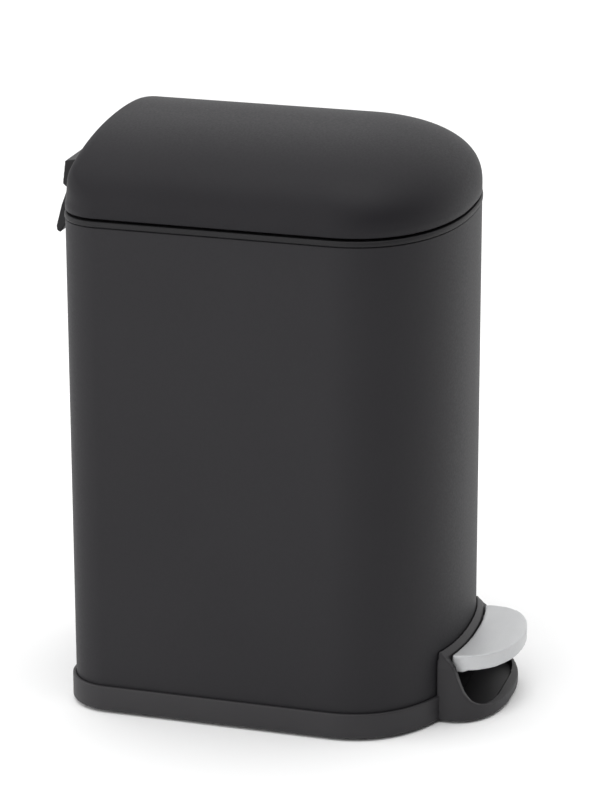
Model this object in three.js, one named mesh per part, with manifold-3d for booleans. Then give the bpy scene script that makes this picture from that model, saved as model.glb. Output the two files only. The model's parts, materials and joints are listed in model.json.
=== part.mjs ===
// Pedal bin of the 5 litre class: a steel shell with a flat back and a bowed front, a domed lid
// hinged at the back, and a foot pedal that lifts the lid through a lever and a push rod.
// Millimetres, +Z up. The front faces -Y. While modelling, y = 0 is the front of the shell and y grows
// towards the back; the finished group is then moved so that the origin lies on the floor, at the
// middle of the bin's overall width and depth.
import * as THREE from "three";
import { mergeVertices } from "three/addons/utils/BufferGeometryUtils.js";
import Module from "manifold-3d";

// ---------------------------------------------------------------- driving dimensions

// Shell
const bodyWidth = 152;
const bodyDepth = 194;
const shellTop = 258;
const shellWall = 0.8;
const frontCapDepth = 55;
const frontCapPower = 2.28;
const backCornerRadius = 21.5;

// Clearances
const gap = 0.3;
const holeClearance = 0.3;

// Base moulding
const baseBottom = 1.5;
const baseRingTop = 14.7;
const baseRingProud = 1.9;
const baseWall = 2;
const flangeBottom = 4.3;
const flangeTop = 6.6;
const flangeReach = 14;

// Bottom cover and feet
const coverBottom = 2.2;
const coverTop = 4;
const footRadius = 8;
const footPegRadius = 2.4;
const footInset = 28;
const footFromFront = 34;
const footFromBack = 36;

// Inner floor and the posts under it
const floorBottom = 43;
const floorThickness = 2.5;
const coverScrewRadius = 1.4;
const coverScrewTip = 14;
const postRadius = 5;
const postInset = 16;
const postFromFront = 42;
const postFromBack = 46;

// Pedal housing, the scoop in front of the base
const housingHalfWidth = 41.3;
const housingRim = 5.1;
const housingReach = 24.5;
const housingCapDepth = 27;
const housingCapPower = 2.4;
const housingFloor = 4.2;
const housingShoulder = 30;
const collarTaper = 1.6;
const lintelBottom = 30;
const lintelTop = 38;
const lintelProud = 3.8;

// Pedal
const pedalSideGap = 0.9;
const pedalReach = 29.7;
const pedalCapDepth = 25;
const pedalCapPower = 2.19;
const pedalTop = 35.4;
const pedalTiltDeg = 3.2;
const pedalSkirt = 8.3;
const pedalWall = 2;
const tongueTop = 29.4;
const tongueBottom = 26.4;
const leverPlateThickness = 2.6;
const leverPlateHalfWidth = 20;
const leverBarHalfWidth = 5;
const leverBarHeight = 7;
const pedalAxleFromFront = 60.2;
const pedalAxleHeight = 20.5;
const pedalAxleRadius = 2.5;
const bracketInner = 12;
const bracketThickness = 5;
const beamHalfDepth = 4.2;
const beamHeight = 3.7;
const hubWall = 3;
const pedalScrewX = 14;
const pedalScrewY = -18;
const pedalScrewRadius = 1.3;
const plateTop = 31;

// Push rod
const rodRadius = 1.5;
const rodOffset = 6;
const rodLow = 13;
const rodEyeRadius = 2.8;
const guideHeight = 6;
const guideHeights = [72, 214];

// Lid
const lidGap = 1.4;
const lidSide = 3.8;
const lidRise = 33.2;
const lidLean = 10.1;
const lidEdgeRadius = 4.5;
const lidEdgeShare = 0.6;
const lidWall = 1.2;
const linerThickness = 2.2;
const linerWidth = 8.5;
const lipClearance = 0.7;
const lipThickness = 1.6;
const domePower = 2.456;
const domeRoot = 2.23;
const domeCapDepth = 65.5;
const domeCapPower = 2.22;

// Top rim
const rimHeight = 3.1;
const rimProud = 0.4;
const rimLedge = 5.2;
const rimLip = 2.1;
const rimLipDepth = 8;

// Hinge
const hingeBehind = 3.5;
const hingeAboveShell = 5;
const hingePinRadius = 1.5;
const knuckleRadius = 3.2;
const knuckleInner = 10;
const knuckleWidth = 8;
const blockHalfWidth = 41.3;
const blockClearance = 4.5;
const blockHeight = 15.7;
const handleReach = 11.4;
const handleAboveHinge = 3.4;
const finBelowShell = 9.2;
const finDrop = 5;
const handleScrewX = 30;
const handleScrewDrop = 3.5;
const handleScrewRadius = 1.4;
const screwHeadRadius = 2.8;
const screwHeadHeight = 1.8;
const lidScrewX = 28;
const lidScrewRadius = 1.4;
const leverArm = 18;
const leverRestDeg = 35;
const leverThickness = 3;
const slotRadius = 2.5;
const leverRim = 2.4;
const leverScrewX = 8;
const leverScrewSetback = 12;
const leverScrewRadius = 1.3;
const leverFlangeThickness = 2.4;

// Bucket
const bucketInset = 9;
const bucketFromBack = 24;
const bucketBottom = 46;
const bucketBelowShell = 10;
const bucketWall = 1.6;
const bucketTaper = 3;
const bucketFlange = 2.4;
const bailRadius = 1.5;
const bailAboveBucket = 3.5;
const bailFromFront = 82;
const bailInset = 13;
const earInset = 3.5;
const earThickness = 4;
const earHalfLength = 6;
const earAboveBail = 4;

// ---------------------------------------------------------------- colours

const paint = new THREE.MeshStandardMaterial({ color: 0x35373a, roughness: 0.55, metalness: 0.3 });
const lidPaint = new THREE.MeshStandardMaterial({ color: 0x3a3c3f, roughness: 0.5, metalness: 0.3 });
const blackPlastic = new THREE.MeshStandardMaterial({ color: 0x1e1d1c, roughness: 0.6, metalness: 0 });
const greyPlastic = new THREE.MeshStandardMaterial({ color: 0x3b3c3e, roughness: 0.55, metalness: 0 });
const silver = new THREE.MeshStandardMaterial({ color: 0xb9babb, roughness: 0.4, metalness: 0.6 });
const steel = new THREE.MeshStandardMaterial({ color: 0xa6a8aa, roughness: 0.35, metalness: 0.9 });
const blackSteel = new THREE.MeshStandardMaterial({ color: 0x232425, roughness: 0.5, metalness: 0.7 });
const rubber = new THREE.MeshStandardMaterial({ color: 0x161616, roughness: 0.9, metalness: 0 });

// ---------------------------------------------------------------- solids

const wasm = await Module();
wasm.setup();

const bin = new THREE.Group();

// A closed geometry as a solid that can be joined and cut.
function solidOf(geometry) {
  const bare = geometry.clone();
  bare.deleteAttribute("normal");
  bare.deleteAttribute("uv");
  const merged = mergeVertices(bare, 1e-4);
  const vertProperties = new Float32Array(merged.getAttribute("position").array);
  const triVerts = new Uint32Array(merged.index.array);
  return new wasm.Manifold(new wasm.Mesh({ numProp: 3, vertProperties, triVerts }));
}

// Puts a solid into the bin as a named mesh.
function place(name, solid, material) {
  const cut = solid.getMesh();
  const geometry = new THREE.BufferGeometry();
  geometry.setAttribute("position", new THREE.BufferAttribute(new Float32Array(cut.vertProperties), 3));
  geometry.setIndex(new THREE.BufferAttribute(new Uint32Array(cut.triVerts), 1));
  geometry.computeVertexNormals();
  const mesh = new THREE.Mesh(geometry, material);
  mesh.name = name;
  bin.add(mesh);
  return mesh;
}

// A box between two values on each axis.
function block(x0, x1, y0, y1, z0, z1) {
  const geometry = new THREE.BoxGeometry(x1 - x0, y1 - y0, z1 - z0);
  geometry.translate((x0 + x1) / 2, (y0 + y1) / 2, (z0 + z1) / 2);
  return solidOf(geometry);
}

// A round bar from one point to another.
function bar(radius, start, end, sides = 16) {
  const from = new THREE.Vector3(...start);
  const span = new THREE.Vector3(...end).sub(from);
  const geometry = new THREE.CylinderGeometry(radius, radius, span.length(), sides);
  const turn = new THREE.Quaternion().setFromUnitVectors(
    new THREE.Vector3(0, 1, 0),
    span.clone().normalize(),
  );
  geometry.applyQuaternion(turn);
  geometry.translate(...from.addScaledVector(span, 0.5));
  return solidOf(geometry);
}

// A side view outline of [y, z] points, drawn out along X.
function sideProfile(outline, x0, x1) {
  const shape = new THREE.Shape(outline.map(([y, z]) => new THREE.Vector2(y, z)));
  const geometry = new THREE.ExtrudeGeometry(shape, { depth: x1 - x0, bevelEnabled: false });
  const axes = new THREE.Matrix4().makeBasis(
    new THREE.Vector3(0, 1, 0),
    new THREE.Vector3(0, 0, 1),
    new THREE.Vector3(1, 0, 0),
  );
  geometry.applyMatrix4(axes);
  geometry.translate(x0, 0, 0);
  return solidOf(geometry);
}

// A front view outline of [x, z] points, drawn out along Y.
function frontProfile(outline, y0, y1) {
  const shape = new THREE.Shape(outline.map(([x, z]) => new THREE.Vector2(x, z)));
  const geometry = new THREE.ExtrudeGeometry(shape, { depth: y1 - y0, bevelEnabled: false });
  geometry.rotateX(Math.PI / 2);
  geometry.translate(0, y1, 0);
  return solidOf(geometry);
}

// A solid of revolution about the vertical through (x, y), from a closed [radius, z] profile.
function turned(profile, x, y, sides = 16) {
  const points = profile.map(([radius, z]) => new THREE.Vector2(radius, z));
  const geometry = new THREE.LatheGeometry(points, sides);
  geometry.rotateX(Math.PI / 2);
  geometry.translate(x, y, 0);
  return solidOf(geometry);
}

// A solid skinned through rings of [x, y] points at given heights. The rings run anticlockwise seen from
// above. A looped skin closes on its first ring; any other is capped at its first and last rings.
function skin(rings, looped = false) {
  const count = rings[0].points.length;
  const vertices = rings.flatMap(({ points, z }) => points.flatMap(([x, y]) => [x, y, z]));
  const faces = [];
  const spans = looped ? rings.length : rings.length - 1;
  for (let i = 0; i < spans; i++) {
    const low = i * count;
    const high = ((i + 1) % rings.length) * count;
    for (let j = 0; j < count; j++) {
      const next = (j + 1) % count;
      faces.push(low + j, low + next, high + next);
      faces.push(low + j, high + next, high + j);
    }
  }
  if (!looped) {
    const last = (rings.length - 1) * count;
    const contour = (ring) => ring.points.map(([x, y]) => new THREE.Vector2(x, y));
    for (const [a, b, c] of THREE.ShapeUtils.triangulateShape(contour(rings[0]), [])) faces.push(a, c, b);
    for (const [a, b, c] of THREE.ShapeUtils.triangulateShape(contour(rings.at(-1)), [])) {
      faces.push(last + a, last + b, last + c);
    }
  }
  const geometry = new THREE.BufferGeometry();
  geometry.setAttribute("position", new THREE.Float32BufferAttribute(vertices, 3));
  geometry.setIndex(faces);
  return solidOf(geometry);
}

// ---------------------------------------------------------------- plan outlines

const capSteps = 24;
const cornerSteps = 5;
const sharpestCorner = 0.5;

// Points of a plan with a superelliptic front, straight sides and round back corners, each moved
// outwards along its normal by grow. They run anticlockwise from the left end of the front cap.
function outline(plan, grow = 0) {
  const { halfWidth, front, back, capDepth, capPower, cornerRadius } = plan;
  const capBack = front + capDepth;
  const points = [];
  for (let i = 0; i <= capSteps; i++) {
    const angle = -Math.PI / 2 + (Math.PI * i) / capSteps;
    const side = Math.sign(Math.sin(angle));
    const across = Math.abs(Math.sin(angle)) ** (2 / capPower);
    const along = Math.abs(Math.cos(angle)) ** (2 / capPower);
    const normal = new THREE.Vector2(
      (side * across ** (capPower - 1)) / halfWidth,
      -(along ** (capPower - 1)) / capDepth,
    ).normalize();
    points.push([side * across * halfWidth + grow * normal.x, capBack - along * capDepth + grow * normal.y]);
  }
  for (const side of [1, -1]) {
    for (let i = 0; i <= cornerSteps; i++) {
      const turn = ((side > 0 ? i : cornerSteps - i) / cornerSteps) * (Math.PI / 2);
      const reach = Math.max(cornerRadius + grow, sharpestCorner);
      points.push([
        side * (halfWidth + grow - reach + reach * Math.cos(turn)),
        back + grow - reach + reach * Math.sin(turn),
      ]);
    }
  }
  return points;
}

// An upright slab of a plan outline.
function slab(points, z0, z1) {
  return skin([
    { points, z: z0 },
    { points, z: z1 },
  ]);
}

// A ring swept round a plan from a cross-section of [grow, z] points, listed outside first, upwards.
function sweptRing(plan, section) {
  return skin(
    section.map(([grow, z]) => ({ points: outline(plan, grow), z })),
    true,
  );
}

const bodyPlan = {
  halfWidth: bodyWidth / 2,
  front: 0,
  back: bodyDepth,
  capDepth: frontCapDepth,
  capPower: frontCapPower,
  cornerRadius: backCornerRadius,
};

// ---------------------------------------------------------------- derived places

const rimTop = shellTop + rimHeight;
const lidBottom = rimTop + lidGap;
const lidSideTop = lidBottom + lidSide;
const hingeHeight = shellTop + hingeAboveShell;
const blockBottom = hingeHeight + blockClearance;
const blockTop = blockBottom + blockHeight;
const handleTop = hingeHeight + handleAboveHinge;
const handleScrewZ = shellTop - handleScrewDrop;
const finRoot = shellTop - finBelowShell;
const bucketTop = shellTop - bucketBelowShell;
const bailHeight = bucketTop + bailAboveBucket;
const hingeY = bodyDepth + hingeBehind;
const rodY = hingeY - leverArm;
const rodHigh = hingeHeight - leverArm * Math.tan(THREE.MathUtils.degToRad(leverRestDeg));
const innerFace = -(shellWall + gap);
const cavityHalfWidth = housingHalfWidth - housingRim;
const pedalHalfWidth = cavityHalfWidth - pedalSideGap;
const linerBottom = lidBottom + 0.2;
const linerEdge = -(lidWall + gap);
const linerLipOuter = -(rimLedge + lipClearance);
const linerLipInner = linerLipOuter - lipThickness;
const leverScrewY = rodY - leverScrewSetback;
const leverPlateTop = linerBottom - gap;
const pedalScrewPlaces = [-pedalScrewX, pedalScrewX].map((x) => [x, pedalScrewY]);
const lidScrewPlaces = [-lidScrewX, lidScrewX].map((x) => [x, blockBottom + blockClearance]);
const feet = [];
const posts = [];
for (const side of [-1, 1]) {
  for (const y of [footFromFront, bodyDepth - footFromBack]) {
    feet.push([side * (bodyWidth / 2 - footInset), y]);
  }
  for (const y of [postFromFront, bodyDepth - postFromBack]) {
    posts.push([side * (bodyWidth / 2 - postInset), y]);
  }
}

// ---------------------------------------------------------------- shell

function makeShell() {
  const foot = flangeTop + gap;
  let shell = sweptRing(bodyPlan, [
    [0, foot],
    [0, shellTop],
    [-shellWall, shellTop],
    [-shellWall, foot],
  ]);
  const notch = frontProfile(collarFace(-housingRim / 2), -5, frontCapDepth / 2);
  shell = shell.subtract(notch.intersect(slab(outline(bodyPlan, 1), 0, lintelBottom + 4)));
  for (const side of [-1, 1]) {
    const x = side * handleScrewX;
    const hole = bar(
      handleScrewRadius + holeClearance,
      [x, bodyDepth - 5, handleScrewZ],
      [x, bodyDepth + 5, handleScrewZ],
    );
    shell = shell.subtract(hole);
  }
  place("outer_shell", shell, paint);
}

function makeTopRim() {
  const ledgeBottom = shellTop + gap;
  const lipInner = innerFace - rimLip;
  let rim = sweptRing(bodyPlan, [
    [0, ledgeBottom],
    [rimProud, ledgeBottom + 0.6],
    [rimProud, rimTop - 0.8],
    [rimProud - 0.8, rimTop],
    [-rimLedge, rimTop],
    [-rimLedge, ledgeBottom],
    [lipInner, ledgeBottom],
    [lipInner, shellTop - rimLipDepth],
    [innerFace, shellTop - rimLipDepth],
    [innerFace, ledgeBottom],
  ]);
  const reliefHalfWidth = handleScrewX + 14;
  rim = rim.subtract(
    block(
      -reliefHalfWidth,
      reliefHalfWidth,
      bodyDepth - backCornerRadius,
      bodyDepth + 5,
      0,
      shellTop + gap / 2,
    ),
  );
  place("top_rim", rim, greyPlastic);
}

// ---------------------------------------------------------------- base

const cavityPlan = {
  halfWidth: cavityHalfWidth,
  front: housingRim - 0.1 - housingReach,
  back: 18,
  capDepth: 16,
  capPower: 3.2,
  cornerRadius: 2,
};

// Front view of the collar round the pedal opening: upright sides that lean in above the shoulder.
function collarFace(grow) {
  const wide = housingHalfWidth + grow;
  const narrow = wide - collarTaper;
  const top = lintelTop + 0.6;
  return [
    [-wide, 0],
    [wide, 0],
    [wide, housingShoulder],
    [narrow, top],
    [-narrow, top],
    [-wide, housingShoulder],
  ];
}

function makeHousing() {
  const profile = [
    [12, baseBottom],
    [-housingReach, baseBottom],
    [-housingReach, 6.3],
    [-19.5, 7.5],
    [-15.2, 9],
    [-11.1, 11.9],
    [-7.8, 16.5],
    [-5.2, 23],
    [-2.9, lintelBottom],
    [-0.6, lintelBottom + 3],
    [3, lintelTop - 2],
    [4.4, lintelTop + 0.2],
    [12, lintelTop + 0.2],
  ];
  const plan = {
    halfWidth: housingHalfWidth,
    front: -housingReach,
    back: 30,
    capDepth: housingCapDepth,
    capPower: housingCapPower,
    cornerRadius: 2,
  };
  const lintel = sweptRing(bodyPlan, [
    [lintelProud, lintelBottom],
    [lintelProud, lintelTop - 2.6],
    [gap + 0.8, lintelTop],
    [gap - 2, lintelTop],
    [gap - 2, lintelBottom],
  ]).intersect(frontProfile(collarFace(0), -10, 20));
  return sideProfile(profile, -housingHalfWidth, housingHalfWidth)
    .intersect(slab(outline(plan), 0, shellTop))
    .intersect(frontProfile(collarFace(0), -housingReach - 1, 30))
    .subtract(slab(outline(cavityPlan), housingFloor, shellTop))
    .add(lintel)
    .subtract(slab(outline(bodyPlan, gap), flangeTop, shellTop))
    .subtract(slab(outline(bodyPlan, gap - 0.7), 0, flangeTop));
}

function makeBase() {
  const coverEdge = gap - 0.7;
  const wallInner = innerFace - baseWall;
  let base = sweptRing(bodyPlan, [
    [baseRingProud, baseBottom],
    [baseRingProud, baseRingTop - 1.2],
    [baseRingProud - 0.7, baseRingTop],
    [gap, baseRingTop],
    [gap, flangeTop],
    [innerFace, flangeTop],
    [innerFace, baseRingTop],
    [wallInner, baseRingTop],
    [wallInner, flangeTop],
    [-flangeReach, flangeTop],
    [-flangeReach, flangeBottom],
    [coverEdge, flangeBottom],
    [coverEdge, baseBottom],
  ]);
  base = base.subtract(slab(outline(cavityPlan), housingFloor, shellTop)).add(makeHousing());
  for (const [x, y] of posts) {
    base = base.add(bar(postRadius, [x, y, flangeBottom], [x, y, floorBottom - gap]));
  }
  const beamTop = flangeBottom + beamHeight;
  const beamReach = bodyWidth / 2 - flangeReach + 2;
  base = base.add(
    block(
      -beamReach,
      beamReach,
      pedalAxleFromFront - beamHalfDepth,
      pedalAxleFromFront + beamHalfDepth,
      flangeBottom,
      beamTop,
    ),
  );
  for (const side of [-1, 1]) {
    const inner = side > 0 ? bracketInner : -bracketInner - bracketThickness;
    base = base.add(
      block(
        inner,
        inner + bracketThickness,
        pedalAxleFromFront - beamHalfDepth,
        pedalAxleFromFront + beamHalfDepth,
        flangeBottom,
        pedalAxleHeight + pedalAxleRadius + hubWall,
      ),
    );
  }
  const axleHole = bar(
    pedalAxleRadius + holeClearance,
    [-bodyWidth / 4, pedalAxleFromFront, pedalAxleHeight],
    [bodyWidth / 4, pedalAxleFromFront, pedalAxleHeight],
  );
  base = base.subtract(axleHole);
  for (const [x, y] of posts) {
    base = base.subtract(bar(coverScrewRadius + holeClearance, [x, y, 0], [x, y, coverScrewTip + 2]));
  }
  place("base", base, blackPlastic);
}

function makeBottom() {
  let cover = slab(outline(bodyPlan, gap - 1), coverBottom, coverTop);
  for (const [x, y] of feet) {
    cover = cover.subtract(bar(footPegRadius + holeClearance, [x, y, 0], [x, y, coverTop + 1]));
  }
  for (const [x, y] of posts) {
    cover = cover.subtract(bar(coverScrewRadius + holeClearance, [x, y, 0], [x, y, coverTop + 1]));
  }
  place("bottom_cover", cover, blackPlastic);
  feet.forEach(([x, y], i) => {
    const foot = turned(
      [
        [0, 0],
        [footRadius - 0.6, 0],
        [footRadius, 0.6],
        [footRadius, coverBottom - gap - 0.5],
        [footRadius - 0.6, coverBottom - gap],
        [footPegRadius, coverBottom - gap],
        [footPegRadius, coverTop + 0.8],
        [footPegRadius - 0.8, coverTop + 2],
        [0, coverTop + 2],
      ],
      x,
      y,
    );
    place(`foot_${i + 1}`, foot, rubber);
  });
  posts.forEach(([x, y], i) => {
    const screw = turned(
      [
        [0, 1],
        [2.4, 1],
        [3, 1.4],
        [3, coverBottom - gap],
        [coverScrewRadius, coverBottom - gap],
        [coverScrewRadius, coverScrewTip],
        [0, coverScrewTip],
      ],
      x,
      y,
      12,
    );
    place(`cover_screw_${i + 1}`, screw, steel);
  });
}

function makeInnerFloor() {
  const plan = {
    ...bodyPlan,
    halfWidth: bodyWidth / 2 - shellWall - 3,
    front: shellWall + 3,
    back: bodyDepth - bucketFromBack + 3,
    cornerRadius: 15,
  };
  place("inner_floor", slab(outline(plan), floorBottom, floorBottom + floorThickness), blackPlastic);
}

// ---------------------------------------------------------------- pedal

function makePedalPad() {
  const plan = {
    halfWidth: pedalHalfWidth,
    front: -pedalReach,
    back: 6,
    capDepth: pedalCapDepth,
    capPower: pedalCapPower,
    cornerRadius: 1,
  };
  const slope = Math.tan(THREE.MathUtils.degToRad(pedalTiltDeg));
  const topAt = (y) => pedalTop - slope * y;
  const profile = [
    [-pedalReach - 1, topAt(-pedalReach - 1) - pedalSkirt],
    [-9, topAt(-9) - pedalSkirt],
    [-6, tongueBottom],
    [7, tongueBottom],
    [7, topAt(7)],
    [-pedalReach - 1, topAt(-pedalReach - 1)],
  ];
  const hollow = [
    [-pedalReach, 0],
    [-9.5, 0],
    [-9.5, topAt(-9.5) - pedalWall],
    [-pedalReach, topAt(-pedalReach) - pedalWall],
  ];
  let pad = slab(outline(plan), 0, shellTop)
    .intersect(sideProfile(profile, -pedalHalfWidth - 1, pedalHalfWidth + 1))
    .subtract(slab(outline(bodyPlan, lintelProud + 0.9), tongueTop, shellTop));
  const inside = slab(outline(plan, -pedalWall), 0, shellTop).intersect(
    sideProfile(hollow, -pedalHalfWidth, pedalHalfWidth),
  );
  pad = pad.subtract(inside);
  for (const side of [-1, 1]) {
    const x = side * pedalScrewX;
    pad = pad
      .add(bar(3.6, [x, pedalScrewY, plateTop + gap], [x, pedalScrewY, topAt(pedalScrewY) - 0.8]))
      .subtract(
        bar(
          pedalScrewRadius + holeClearance,
          [x, pedalScrewY, plateTop - 1],
          [x, pedalScrewY, plateTop + 3.4],
        ),
      );
  }
  place("pedal_pad", pad, silver);
}

function makePedalLever() {
  const tongueUnder = tongueBottom - gap;
  const platePlan = {
    halfWidth: leverPlateHalfWidth,
    front: -24,
    back: 20,
    capDepth: 12,
    capPower: 2.5,
    cornerRadius: 2,
  };
  const plate = sideProfile(
    [
      [-24, plateTop - leverPlateThickness],
      [-15.2, plateTop - leverPlateThickness],
      [-12, tongueUnder - leverPlateThickness],
      [12, tongueUnder - leverPlateThickness - 1],
      [12, tongueUnder - 0.6],
      [-10, tongueUnder],
      [-13.4, plateTop],
      [-24, plateTop],
    ],
    -leverPlateHalfWidth,
    leverPlateHalfWidth,
  ).intersect(slab(outline(platePlan), 0, shellTop));
  const half = leverBarHeight / 2;
  const arm = sideProfile(
    [
      [2, tongueUnder - leverPlateThickness - 1 - half],
      [pedalAxleFromFront, pedalAxleHeight - half],
      [rodY - 8, rodLow + 0.6 - half],
      [rodY - 8, rodLow + 0.6 + half],
      [pedalAxleFromFront, pedalAxleHeight + half],
      [2, tongueUnder - 1],
    ],
    -leverBarHalfWidth,
    leverBarHalfWidth,
  );
  const eye = sideProfile(
    [
      [rodY - 14, rodLow + 1 - half],
      [rodY + 2, rodLow - 5],
      [rodY + 5, rodLow - 2],
      [rodY + 5, rodLow + 2],
      [rodY + 2, rodLow + 5],
      [rodY - 14, rodLow + 1 + half],
    ],
    -leverThickness / 2,
    leverThickness / 2,
  );
  const hubHalfWidth = bracketInner - 1;
  let lever = plate
    .add(arm)
    .add(eye)
    .add(
      bar(
        pedalAxleRadius + hubWall,
        [-hubHalfWidth, pedalAxleFromFront, pedalAxleHeight],
        [hubHalfWidth, pedalAxleFromFront, pedalAxleHeight],
      ),
    );
  lever = lever
    .subtract(
      bar(
        pedalAxleRadius + holeClearance,
        [-bracketInner, pedalAxleFromFront, pedalAxleHeight],
        [bracketInner, pedalAxleFromFront, pedalAxleHeight],
      ),
    )
    .subtract(bar(rodEyeRadius, [-5, rodY, rodLow], [5, rodY, rodLow]));
  pedalScrewPlaces.forEach(([x, y]) => {
    lever = lever.subtract(bar(pedalScrewRadius + holeClearance, [x, y, 0], [x, y, plateTop + 2]));
  });
  place("pedal_lever", lever, blackSteel);
  pedalScrewPlaces.forEach(([x, y], i) => {
    const headTop = plateTop - leverPlateThickness - gap;
    const screw = turned(
      [
        [0, headTop - 1.6],
        [1.9, headTop - 1.6],
        [2.6, headTop - 0.9],
        [2.6, headTop],
        [pedalScrewRadius, headTop],
        [pedalScrewRadius, plateTop + 3],
        [0, plateTop + 3],
      ],
      x,
      y,
      16,
    );
    place(`pedal_screw_${i + 1}`, screw, steel);
  });
}

function makePedalAxle() {
  const end = bracketInner + bracketThickness + 2.4;
  place(
    "pedal_axle",
    bar(
      pedalAxleRadius,
      [-end, pedalAxleFromFront, pedalAxleHeight],
      [end, pedalAxleFromFront, pedalAxleHeight],
    ),
    steel,
  );
  [-1, 1].forEach((side, i) => {
    const near = side * (bracketInner + bracketThickness + gap);
    const far = side * (bracketInner + bracketThickness + gap + 1);
    const clip = bar(
      pedalAxleRadius + 2,
      [near, pedalAxleFromFront, pedalAxleHeight],
      [far, pedalAxleFromFront, pedalAxleHeight],
    ).subtract(
      bar(
        pedalAxleRadius + holeClearance,
        [near - side, pedalAxleFromFront, pedalAxleHeight],
        [far + side, pedalAxleFromFront, pedalAxleHeight],
      ),
    );
    place(`axle_clip_${i + 1}`, clip, steel);
  });
}

// ---------------------------------------------------------------- push rod

function makePushRod() {
  const hookEnd = -leverThickness / 2 - 3;
  const corners = [
    [hookEnd, rodY, rodLow],
    [rodOffset, rodY, rodLow],
    [rodOffset, rodY, rodHigh],
    [hookEnd, rodY, rodHigh],
  ];
  let rod = bar(rodRadius, corners[0], corners[1], 12)
    .add(bar(rodRadius, corners[1], corners[2], 12))
    .add(bar(rodRadius, corners[2], corners[3], 12));
  for (const [x, y, z] of [corners[1], corners[2]]) {
    const bend = new THREE.SphereGeometry(rodRadius * 1.02, 10, 8);
    bend.translate(x, y, z);
    rod = rod.add(solidOf(bend));
  }
  place("push_rod", rod, steel);
}

function makeRodGuides() {
  guideHeights.forEach((z, i) => {
    const guide = block(1.5, rodOffset + 4.5, rodY - 4.5, bodyDepth + innerFace, z, z + guideHeight).subtract(
      bar(rodRadius + 0.4, [rodOffset, rodY, z - 1], [rodOffset, rodY, z + guideHeight + 1]),
    );
    place(`rod_guide_${i + 1}`, guide, blackPlastic);
  });
}

// ---------------------------------------------------------------- lid

// How far z has climbed up the dome, from 0 at its foot to 1 at its crown.
function climbAt(z) {
  return Math.max(z - lidSideTop, 0) / lidRise;
}

// The lid's back stands straight below lidSideTop and leans forward as a flat face above it.
function lidBackAt(z) {
  return bodyDepth - lidLean * climbAt(z);
}

// The back corners follow the shell at the dome's foot and tighten to the edge radius further up.
function lidCornerAt(z, halfWidth) {
  const ease = THREE.MathUtils.smoothstep(climbAt(z), 0, lidEdgeShare);
  return Math.min(THREE.MathUtils.lerp(backCornerRadius, lidEdgeRadius, ease), halfWidth / 2);
}

// Plan ring of the dome at height z, where it has come in to the share rho of its full half width.
function lidRing(rho, z, inward) {
  const edge = rho ** 6;
  const capBack = THREE.MathUtils.lerp(domeCapDepth, frontCapDepth, edge);
  const front = capBack * (1 - rho);
  const halfWidth = (bodyWidth / 2) * rho;
  const plan = {
    halfWidth,
    front,
    back: lidBackAt(z),
    capDepth: capBack - front,
    capPower: THREE.MathUtils.lerp(domeCapPower, frontCapPower, edge),
    cornerRadius: lidCornerAt(z, halfWidth),
  };
  return outline(plan, -Math.min(inward, halfWidth / 2));
}

// Height of the dome above the lid's side wall at the share rho of the half width.
function domeHeight(rho) {
  return lidRise * (1 - rho ** domePower) ** (1 / domeRoot);
}

function makeLidShell() {
  const shares = [1, 0.985, 0.95, 0.88, 0.76, 0.6, 0.4, 0.2, 0.03];
  const heightAt = (rho) => lidSideTop + domeHeight(rho);
  const outside = shares.map((rho) => ({ points: lidRing(rho, heightAt(rho), 0), z: heightAt(rho) }));
  const inside = shares.map((rho) => ({
    points: lidRing(rho, heightAt(rho), lidWall),
    z: heightAt(rho) - lidWall * (1 - rho ** 8),
  }));
  inside.reverse();
  let lid = skin([
    ...inside,
    { points: lidRing(1, lidBottom, lidWall), z: lidBottom },
    { points: lidRing(1, lidBottom, 0), z: lidBottom },
    ...outside,
  ]);
  const hingeOpening = blockHalfWidth + 1.2;
  lid = lid.subtract(
    block(-hingeOpening, hingeOpening, bodyDepth - 6, bodyDepth + 1, lidBottom - 1, blockBottom + gap),
  );
  for (const [x, z] of lidScrewPlaces) {
    lid = lid.subtract(bar(lidScrewRadius + holeClearance, [x, bodyDepth - 8, z], [x, bodyDepth + 2, z]));
  }
  place("lid_shell", lid, lidPaint);
}

function makeLidLiner() {
  const lipBottom = shellTop - 0.5;
  const linerTop = linerBottom + linerThickness;
  let liner = sweptRing(bodyPlan, [
    [linerEdge, linerBottom],
    [linerEdge, linerTop],
    [linerEdge - linerWidth, linerTop],
    [linerEdge - linerWidth, linerBottom],
    [linerLipInner, linerBottom],
    [linerLipInner, lipBottom],
    [linerLipOuter, lipBottom],
    [linerLipOuter, linerBottom],
  ]);
  const shelfHalfWidth = handleScrewX + 12;
  const shelf = block(
    -shelfHalfWidth,
    shelfHalfWidth,
    rodY - 24,
    bodyDepth + linerEdge - 0.5,
    linerBottom,
    linerTop,
  );
  const lipRelief = block(-18, 18, rodY - 10, bodyDepth, 0, linerBottom);
  liner = liner.subtract(lipRelief).add(shelf);
  for (const side of [-1, 1]) {
    const x = side * leverScrewX;
    liner = liner.subtract(
      bar(leverScrewRadius + holeClearance, [x, leverScrewY, 0], [x, leverScrewY, linerTop + 5]),
    );
  }
  place("lid_liner", liner, blackPlastic);
}

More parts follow.
